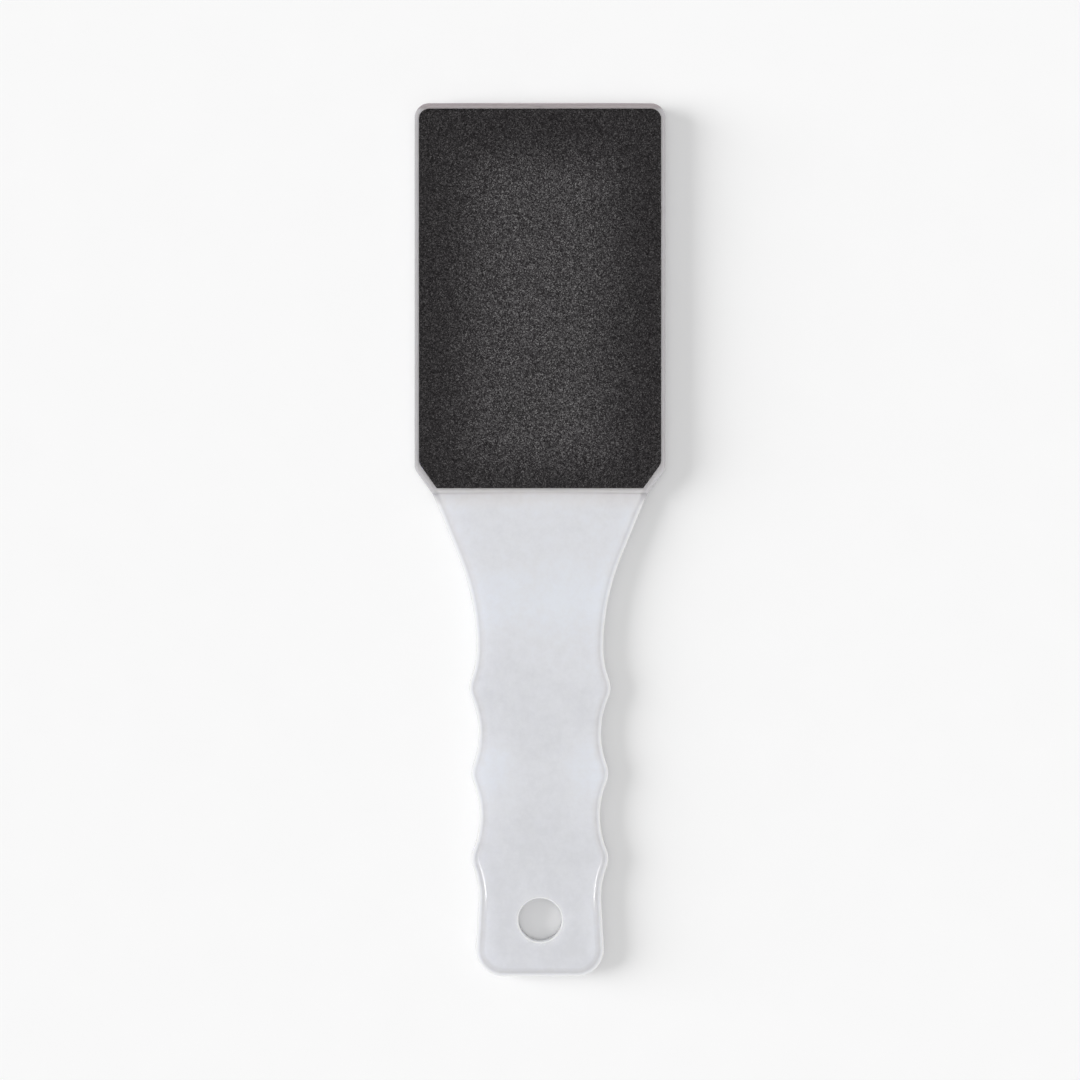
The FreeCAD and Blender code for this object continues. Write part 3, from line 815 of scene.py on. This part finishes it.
# Millimetres from the outline
TAIL_BORDER = (3.0, 8.0)
TAIL_LIFT = 0.38
MILK_AND_SHEEN_COLOURS = ((0.0, hue(208, 209, 213)), (0.45, hue(215, 216, 220)), (0.9, hue(218, 221, 227)))
rim_gap = plastic.attribute("edge_gap")
near_tail = plastic.ranged(spot["Y"], TAIL_END + TAIL_FADE[1], TAIL_END + TAIL_FADE[0])
off_end = plastic.ranged(spot["Y"], TAIL_END + END_FADE[0], TAIL_END + END_FADE[1])
pale_border = plastic.ranged(rim_gap, *TAIL_BORDER, TAIL_LIFT, 0.0, kind="SMOOTHSTEP")
pale_border = plastic.math("MULTIPLY", pale_border, off_end)
milk_and_sheen = plastic.math("MULTIPLY_ADD", near_tail, pale_border, milk_and_sheen)
# One ramp turns the plastic's own tone and the painted sheen into colour
base = plastic.ramp(milk_and_sheen, *MILK_AND_SHEEN_COLOURS)
print("with paler sides of the tail:", len(plastic.tree.nodes), "nodes")

# %% Milky plastic: painted glow and a painted shade line at the edge
# Distances are in millimetres from the outline, and below zero on the wall
EDGE_LIMITS = (-WALL_DEPTH / MM, 3.0)
SHEET_HALO = (1.5, 5.0)
PAINTED_GLOW_COLOUR = hue(249, 249, 250)
PAINTED_GLOW_STOPS = ((-0.6, even(0.2)), (-0.2, even(0.4)), (0.05, even(0.86)),
              (0.2, even(0.8)), (0.6, even(0.34)), (1.1, even(0.0)))
SHADE_LINE_STOPS = ((0.9, WHITE), (1.26, hue(243, 242, 240)), (1.5, hue(244, 243, 241)),
                (2.0, hue(250, 249, 248)), (2.9, WHITE))
TAIL_SHADE_LINE_STOPS = ((1.2, WHITE), (1.55, grey(250)), (2.25, grey(248)), (2.85, WHITE))


def gap_ramp(gap, limits, stops):
    """A ramp over a distance in millimetres, between two limits; each stop is a distance and a colour."""
    span = limits[1] - limits[0]
    shares = [((where - limits[0]) / span, colour) for where, colour in stops]
    return plastic.ramp(plastic.ranged(gap, *limits), *shares)


sheet_distance = plastic.attribute("sheet_gap")
clear = plastic.ranged(sheet_distance, *SHEET_HALO)
# Painted glow: away from the sheets, the rounded edge and the wall are painted lighter, as light coming
# through a thin edge
glow = plastic.math("MULTIPLY", gap_ramp(rim_gap, EDGE_LIMITS, PAINTED_GLOW_STOPS), clear)
base = plastic.mixed(glow, base, (*PAINTED_GLOW_COLOUR, 1))
# Painted shade: a darker line just inside the rounded edge, wider and softer near the tail
base = plastic.mixed(clear, base, gap_ramp(rim_gap, EDGE_LIMITS, SHADE_LINE_STOPS), "MULTIPLY")
base = plastic.mixed(near_tail, base, gap_ramp(rim_gap, EDGE_LIMITS, TAIL_SHADE_LINE_STOPS), "MULTIPLY")
print("with glow and crease:", len(plastic.tree.nodes), "nodes")

# %% Milky plastic: painted shade beside the sheets
# Millimetres from the outline or from the sheet
SHEET_LIMITS = (0.0, 8.0)
RIM_PAINTED_SHADE_STOPS = ((-0.4, grey(252)), (0.1, grey(226)), (1.2, grey(226)), (2.1, WHITE))
SHEET_PAINTED_SHADE_STOPS = ((0.0, hue(228, 224, 221)), (0.8, hue(238, 233, 231)), (2.0, hue(249, 246, 244)),
                    (4.0, hue(254, 252, 250)), (6.4, WHITE))
TOP_RIM_SHADE = hue(212, 203, 202)
TOP_RIM_FADE = 0.4 * MM
WALL_FADE = (-0.5, 0.1)
WALL_SHADE = 0.2
beside = plastic.ranged(sheet_distance, *SHEET_HALO, 1.0, 0.0)
# Painted shade on the plate's rounded rim beside the sheets
base = plastic.mixed(beside, base, gap_ramp(rim_gap, EDGE_LIMITS, RIM_PAINTED_SHADE_STOPS), "MULTIPLY")
on_face = plastic.ranged(rim_gap, *WALL_FADE, WALL_SHADE, 1.0)
# Painted shade that greys the plastic near the sheets, weaker on the wall
base = plastic.mixed(on_face, base, gap_ramp(sheet_distance, SHEET_LIMITS, SHEET_PAINTED_SHADE_STOPS), "MULTIPLY")
# Painted shade: the rim above the sheet's top is painted darker than the side rims
over_top = plastic.ranged(spot["Y"], sheet_high.y - TOP_RIM_FADE, sheet_high.y + TOP_RIM_FADE)
over_top = plastic.math("MULTIPLY", over_top, on_face)
base = plastic.mixed(over_top, base, (*TOP_RIM_SHADE, 1), "MULTIPLY")
print("with grey beside the sheets:", len(plastic.tree.nodes), "nodes")

# %% Milky plastic: gloss and depth
HAZE = (260.0, 2.0)
GLOSS_ROUGHNESS = (0.16, 0.20)
RIPPLE = (90.0, 1.0)
RIPPLE_HEIGHT = 0.015 * MM
POLYSTYRENE_IOR = 1.59
SCATTER_RADIUS = (1.0, 1.0, 1.1)
SCATTER_DEPTH = 5.0 * MM
plastic.set_shader(
    Base_Color=base,
    Roughness=plastic.spread(plastic.noise(*HAZE), *GLOSS_ROUGHNESS),
    IOR=POLYSTYRENE_IOR,
    Subsurface_Weight=1.0,
    Subsurface_Radius=SCATTER_RADIUS,
    Subsurface_Scale=SCATTER_DEPTH,
    Normal=plastic.bumped(plastic.noise(*RIPPLE), RIPPLE_HEIGHT),
)
paddle.data.materials.append(plastic.material)
print("milky plastic on", paddle.name)

# %% [markdown]
# ### Black grit
#
# The grains are black silicon carbide in dark resin. Each facet already catches the light on its own; the
# finish adds a tone for each facet and a finer speckle inside it, and a painted sheen that makes the
# middle of the sheet lighter, so that towards its edges the sheet looks darker.

# %% Black grit
# The painted sheen rises over these distances from the sheet's sides, its top and its foot; specks are to
# the metre
SIDE_FADE = np.array((3.1, 25.6)) * MM
TOP_FADE = np.array((5.25, 23.25)) * MM
FOOT_FADE = np.array((-1.8, 16.2)) * MM
FOOT_LEAST = 0.1
FRONT_SPECKS = 6400.0
REAR_SPECKS = 7000.0
SPECK_DETAIL = (2.0, 0.6)
SPECK_SWING = 0.34
TONE_STOPS = (0.02, 0.5, 0.96, 1.0)
# Edge tones lack the painted sheen, middle tones carry it
EDGE_TONES = (hue(15, 13, 14), hue(37, 35, 36), hue(60, 58, 59), hue(92, 90, 90))
MIDDLE_TONES = (hue(20, 18, 19), hue(54, 52, 53), hue(93, 91, 92), hue(140, 138, 138))
GRIT_ROUGHNESS = (0.85, 0.5)
GRIT_SPECULAR = 0.15


def grit_finish(name, specks):
    """Facet tones on two grey ramps, mixed by a painted sheen that grows from the sheet's edges to its
    middle.
    """
    grit = Finish(name)
    spot = grit.node("SeparateXYZ", Vector=grit.place()).outputs
    off_middle = grit.math("ABSOLUTE", spot["X"])
    # Painted sheen: the middle of the sheet is painted lighter than its edges
    side_fade = grit.ranged(off_middle, *(sheet_high.x - SIDE_FADE), kind="SMOOTHSTEP")
    top_fade = grit.ranged(spot["Y"], *(sheet_high.y - TOP_FADE), kind="SMOOTHSTEP")
    foot_fade = grit.ranged(spot["Y"], *(sheet_low.y + FOOT_FADE), FOOT_LEAST, 1.0, kind="SMOOTHSTEP")
    grit_sheen = grit.math("MULTIPLY", grit.math("MULTIPLY", side_fade, top_fade), foot_fade)
    speck = grit.spread(grit.noise(specks, *SPECK_DETAIL), -SPECK_SWING, SPECK_SWING)
    tone = grit.math("ADD", grit.attribute("grain_tone"), speck)
    edge_colour = grit.ramp(tone, *zip(TONE_STOPS, EDGE_TONES))
    middle_colour = grit.ramp(tone, *zip(TONE_STOPS, MIDDLE_TONES))
    grit.set_shader(
        Base_Color=grit.mixed(grit_sheen, edge_colour, middle_colour),
        Roughness=grit.ranged(tone, 0, 1, *GRIT_ROUGHNESS),
        Specular_IOR_Level=GRIT_SPECULAR,
    )
    return grit.material


front_grit.data.materials.append(grit_finish("front_grit", FRONT_SPECKS))
rear_grit.data.materials.append(grit_finish("rear_grit", REAR_SPECKS))
print("black grit on", front_grit.name, "and", rear_grit.name)

# %% [markdown]
# ### Backing and adhesive
#
# Under the grains lies a sheet of latex-soaked paper, and under that a film of adhesive. Both show only as
# thin lines at the cut edge, so they keep their CAD solids and get a finish: fibres for the paper, a satin
# grey for the film.

# %% Backing and adhesive
FIBRES = (1800.0, 4.0, 0.7)
FIBRE_HEIGHT = 0.03 * MM
PAPER_COLOURS = (hue(52, 46, 45), hue(84, 76, 74))
PAPER_ROUGHNESS = (0.75, 0.95)
SMEARS = 700.0
FILM_COLOURS = (hue(176, 172, 164), hue(202, 199, 192))
FILM_ROUGHNESS = (0.35, 0.55)
paper = Finish("backing_paper")
fibre = paper.noise(*FIBRES)
paper.set_shader(
    Base_Color=paper.ramp(fibre, *zip(NOISE_SPAN, PAPER_COLOURS)),
    Roughness=paper.spread(fibre, *PAPER_ROUGHNESS),
    Normal=paper.bumped(fibre, FIBRE_HEIGHT),
)
film = Finish("adhesive_film")
smear = film.noise(SMEARS)
film.set_shader(
    Base_Color=film.ramp(smear, *zip(NOISE_SPAN, FILM_COLOURS)),
    Roughness=film.spread(smear, *FILM_ROUGHNESS),
)
layers = []
for side in ("front", "rear"):
    for layer, finish in (("backing_sheet", paper), ("adhesive_film", film)):
        sheet = nodes["%s_%s" % (side, layer)]
        sheet.material_slots[0].material = finish.material
        layers.append(sheet)
        print(finish.material.name, "on", sheet.name)

# %% [markdown]
# ## Camera
#
# The picture is taken from straight above the middle of the file, from about three and a half lengths
# away, so the perspective is slight. A parallel view would be simpler, but it would hide the hole's wall.
# The lens follows from the width of the view at the file's middle level.

# %% Camera
CAMERA_HEIGHT = 0.90
VIEW_WIDTH = 309.6 * MM
CLIP_START = 0.05
CLIP_END = 30.0
scene = bpy.context.scene
camera_data = bpy.data.cameras.new("camera")
camera = bpy.data.objects.new("camera", camera_data)
scene.collection.objects.link(camera)
camera.location = (0, 0, CAMERA_HEIGHT)
camera_data.lens = camera_data.sensor_width * (CAMERA_HEIGHT - MIDDLE_LEVEL) / VIEW_WIDTH
camera_data.clip_start = CLIP_START
camera_data.clip_end = CLIP_END
scene.camera = camera
print("lens of %.1f mm" % camera_data.lens)

# %% [markdown]
# ## Table and room
#
# The file lies on a plain white table in a room with pale walls. The walls give soft light from all
# around. To the camera, and in reflections, they look almost white, which Light Path can tell apart from
# the light that they shed.

# %% Table
FLOOR_REACH = 6.0
TABLE_CLOUDS = 60.0
TABLE_COLOURS = ((0.0, grey(248)), (1.0, grey(250)))
TABLE_ROUGHNESS = 0.9
scene.view_settings.view_transform = "Standard"
floor_mesh = bpy.data.meshes.new("table")
floor_corner = FLOOR_REACH * np.array(((-1, -1, 0), (1, -1, 0), (1, 1, 0), (-1, 1, 0)))
floor_mesh.from_pydata(floor_corner.tolist(), [], [(0, 1, 2, 3)])
floor = bpy.data.objects.new("table", floor_mesh)
scene.collection.objects.link(floor)
table = Finish("table_white")
table.set_shader(
    Base_Color=table.ramp(table.noise(TABLE_CLOUDS), *TABLE_COLOURS),
    Roughness=TABLE_ROUGHNESS,
    Specular_IOR_Level=0.0,
)
floor_mesh.materials.append(table.material)
print("table", 2 * FLOOR_REACH, "m across")

# %% Room
ROOM_SHARE = 0.50
BACKDROP = 0.95
world = bpy.data.worlds.new("room")
scene.world = world
world.use_nodes = True
room_nodes = world.node_tree.nodes
room_links = world.node_tree.links
rays = room_nodes.new("ShaderNodeLightPath").outputs
seen = rays["Is Camera Ray"]
for ray in ("Is Glossy Ray", "Is Transmission Ray"):
    either = room_nodes.new("ShaderNodeMath")
    either.operation = "MAXIMUM"
    room_links.new(seen, either.inputs[0])
    room_links.new(rays[ray], either.inputs[1])
    seen = either.outputs["Value"]
level = room_nodes.new("ShaderNodeMath")
level.operation = "MULTIPLY_ADD"
level.inputs[1].default_value = BACKDROP - ROOM_SHARE
level.inputs[2].default_value = ROOM_SHARE
room = room_nodes["Background"]
room.inputs["Color"].default_value = (*WHITE, 1)
room_links.new(seen, level.inputs[0])
room_links.new(level.outputs["Value"], room.inputs["Strength"])
print("the room sheds", ROOM_SHARE, "of the light and looks", BACKDROP, "white")

# %% [markdown]
# ## Lamps
#
# Two sets of lamps share the work. The file's own set is broad and even, so that both flanks of the handle
# look alike. The table's set is a small lamp overhead and a low sun from the left, which draws the shadow.
# A share of one is the light of an evenly white sky, which sheds pi watts on each level square metre.
# Within each set the shares, with the room's, add up to one, so that white looks white and every other
# colour looks as it is written.

# %% Helpers for lamps


def light_group(name, things):
    """The things that a lamp lights, and no others."""
    group = bpy.data.collections.new(name)
    for thing in things:
        group.objects.link(thing)
    return group


def lamp(name, kind, energy, place, group, aim=(0, 0, 0), **settings):
    """A lamp at a place, turned so that its light falls on the aim, for one group of things alone."""
    data = bpy.data.lights.new(name, kind)
    data.energy = energy
    for key, value in settings.items():
        setattr(data, key, value)
    made = bpy.data.objects.new(name, data)
    scene.collection.objects.link(made)
    made.location = place
    made.rotation_mode = "QUATERNION"
    made.rotation_quaternion = (made.location - Vector(aim)).to_track_quat("Z", "Y")
    made.light_linking.receiver_collection = group
    return made


file_alone = light_group("file_alone", [paddle, front_grit, rear_grit] + layers)
table_alone = light_group("table_alone", [floor])

# %% Lamps for the file
PANEL_SHARE = 0.25
PANEL_WIDTH = 2.4
PANEL_HEIGHT = 1.6
DOME_SHARE = 0.25
DOME_WAY = np.array((-0.42, 0, 1))
DOME_SPREAD = math.radians(150)
panel_radius = PANEL_WIDTH / 2
panel_angle = math.atan(panel_radius / PANEL_HEIGHT)
panel_energy = PANEL_SHARE * (math.pi * panel_radius / math.sin(panel_angle)) ** 2
panel = lamp("soft_panel", "AREA", panel_energy, (0, 0, PANEL_HEIGHT), file_alone,
             shape="DISK", size=PANEL_WIDTH)
panel.visible_camera = False
dome_energy = DOME_SHARE * math.pi * np.linalg.norm(DOME_WAY) / DOME_WAY[2]
dome = lamp("dome", "SUN", dome_energy, DOME_WAY, file_alone, angle=DOME_SPREAD)
print("%s %.2f W, %s %.2f W/m2" % (panel.name, panel_energy, dome.name, dome_energy))

# %% Lamps for the table
OVERHEAD_SHARE = 0.17
OVERHEAD_WAY = (0, 0, 1)
OVERHEAD_SPREAD = math.radians(8)
SUN_SHARE = 0.33
SUN_HEIGHT = math.radians(21)
SUN_COMPASS = math.radians(176)
SUN_SPREAD = math.radians(38)
sun_way = np.array((math.cos(SUN_COMPASS), math.sin(SUN_COMPASS), math.tan(SUN_HEIGHT)))
sun_energy = SUN_SHARE * math.pi / math.sin(SUN_HEIGHT)
sun = lamp("low_sun", "SUN", sun_energy, sun_way, table_alone, angle=SUN_SPREAD)
overhead_energy = OVERHEAD_SHARE * math.pi
overhead = lamp("overhead", "SUN", overhead_energy, OVERHEAD_WAY, table_alone, angle=OVERHEAD_SPREAD)
print("%s %.2f W/m2, %s %.2f W/m2" % (sun.name, sun_energy, overhead.name, overhead_energy))

# %% [markdown]
# ## Two glints
#
# On the real file, lamps further off draw a thin white line on the rounded edge on each side of the tail.
# Such a line appears where the edge's normal points half-way between camera and lamp. So the lamps can be
# placed by reflection: choose the normals that should shine, mirror the view about them, and follow it out.

# %% Pin spots for the glints
GLINT_PLACE = np.array((18.0, -98.6, 6.0)) * MM
GLINT_RADIUS = 6.6 * MM
GLINT_DISTANCE = 0.7
GLINT_ENERGY = 0.19
# Degrees that the normal leans outwards, and degrees that it swings along with a share of the energy
GLINT_TILTS = (5.5, 7.5)
GLINT_SWINGS = ((-18.0, 0.75), (-10.0, 0.8), (-3.0, 1.0), (4.0, 1.0))
PIN_BLEND = 0.3
PIN_SIZE = 2 * MM
pin_cone = 2 * math.atan(GLINT_RADIUS / GLINT_DISTANCE)
for side in (-1, 1):
    glint_place = GLINT_PLACE * (side, 1, 1)
    view = np.array(camera.location) - glint_place
    view /= np.linalg.norm(view)
    for tilt in np.radians(GLINT_TILTS):
        for swing, share in GLINT_SWINGS:
            turned = math.radians(swing)
            level_way = np.array((side * math.cos(turned), math.sin(turned), 0))
            normal = math.sin(tilt) * level_way + np.array((0, 0, math.cos(tilt)))
            mirrored = 2 * normal.dot(view) * normal - view
            pin_place = glint_place + GLINT_DISTANCE * mirrored
            pin = lamp("pin_spot", "SPOT", share * GLINT_ENERGY, pin_place, file_alone, glint_place,
                       spot_size=pin_cone, spot_blend=PIN_BLEND, shadow_soft_size=PIN_SIZE)
            pin.visible_diffuse = False

# %% [markdown]
# ## Sizes
#
# Looks must not change the size of a part that others build on.
